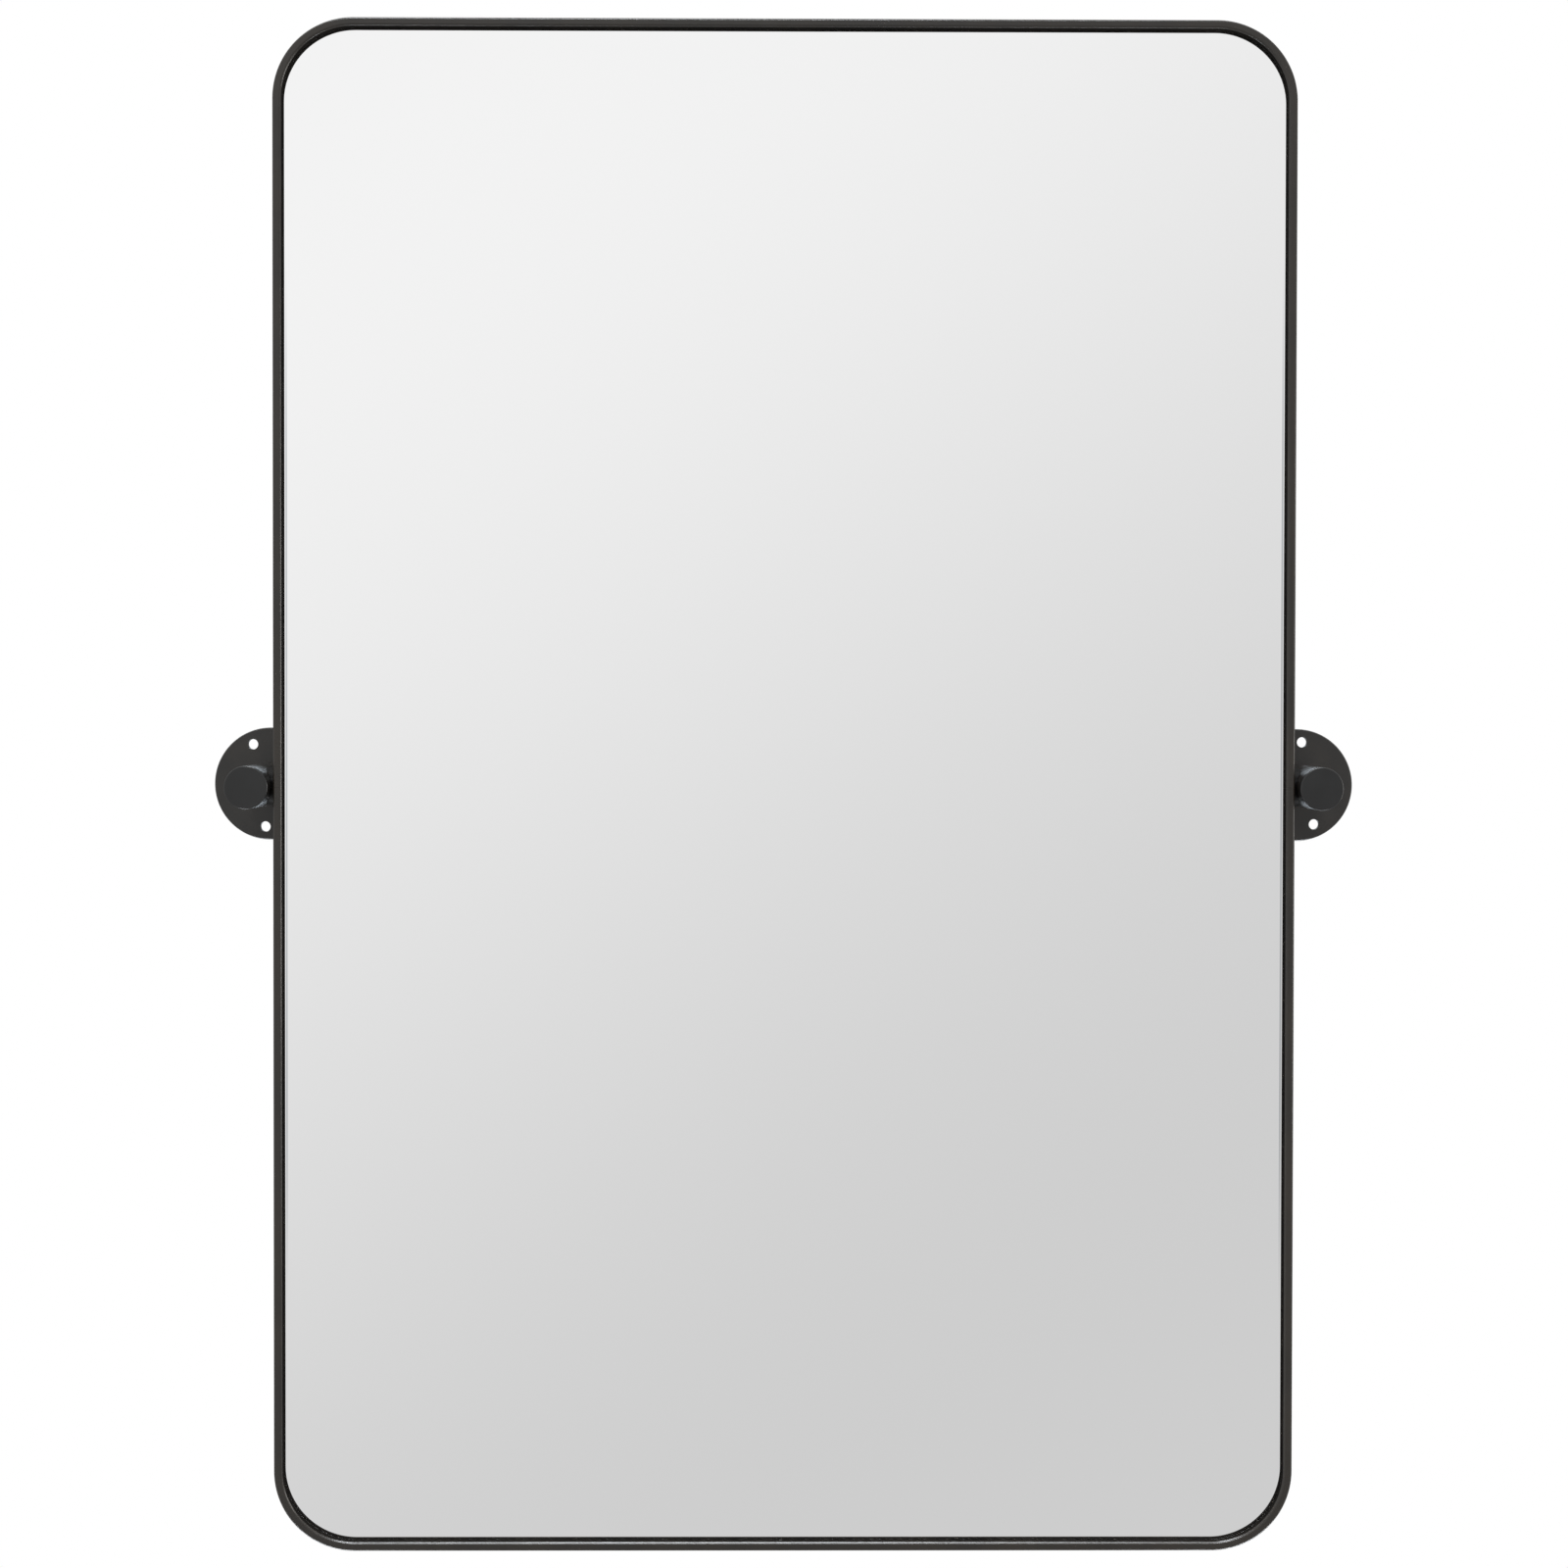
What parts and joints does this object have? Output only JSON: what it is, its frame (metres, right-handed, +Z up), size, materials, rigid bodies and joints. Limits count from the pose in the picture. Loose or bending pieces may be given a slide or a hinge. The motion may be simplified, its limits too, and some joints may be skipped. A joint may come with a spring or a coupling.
{
  "type": "tilting wall mirror",
  "caption": "Tall wall mirror with rounded corners in a slim, deep black metal frame, which tilts on side pivots between round wall brackets.",
  "frame": {"origin": "on the wall plane, midway between the two brackets and level with the pivot axis", "axes": "+X to the viewer's right along the pivot axis, +Y into the wall, +Z up; the glass faces -Y"},
  "size_m": [0.7104, 0.0635, 0.915],
  "materials": {
    "frame_coat": "fine satin black powder coat on steel",
    "bracket_coat": "fine satin black powder coat on steel",
    "mirror": "silvered float glass, polished edge",
    "rubber": "matt black rubber",
    "film": "grey safety film",
    "hardboard": "brown hardboard, raw",
    "spring_steel": "bright spring steel",
    "zinc_steel": "zinc-plated steel",
    "black_steel": "blackened steel",
    "black_nylon": "moulded black nylon"
  },
  "bodies": {
    "wall_brackets": {"wall_plate_left": "bracket_coat", "wall_plate_right": "bracket_coat", "post_left": "bracket_coat", "post_right": "bracket_coat", "post_cap_left": "bracket_coat", "post_cap_right": "bracket_coat", "post_screw_left": "zinc_steel", "post_screw_right": "zinc_steel", "pivot_bush_left": "black_nylon", "pivot_bush_right": "black_nylon", "saddle_collar_left": "bracket_coat", "saddle_collar_right": "bracket_coat", "spring_washer_left": "spring_steel", "spring_washer_right": "spring_steel"},
    "mirror": {"frame_upper": "frame_coat", "frame_lower": "frame_coat", "glass_gasket": "rubber", "mirror_glass": "mirror", "backing_film": "film", "back_board": "hardboard", "setting_pads": "rubber", "rail_springs": "spring_steel", "stile_springs": "spring_steel", "pivot_block_left": "zinc_steel", "pivot_block_right": "zinc_steel", "block_screws_left": "zinc_steel", "block_screws_right": "zinc_steel", "pivot_bolt_left": "black_steel", "pivot_bolt_right": "black_steel"}
  },
  "joints": [
    {"name": "mirror_tilt", "type": "hinge", "parent": "wall_brackets", "child": "mirror", "pos_m": [0, -0.042, 0], "axis": [1, 0, 0], "range_deg": [-4.3, 4.3]}
  ]
}
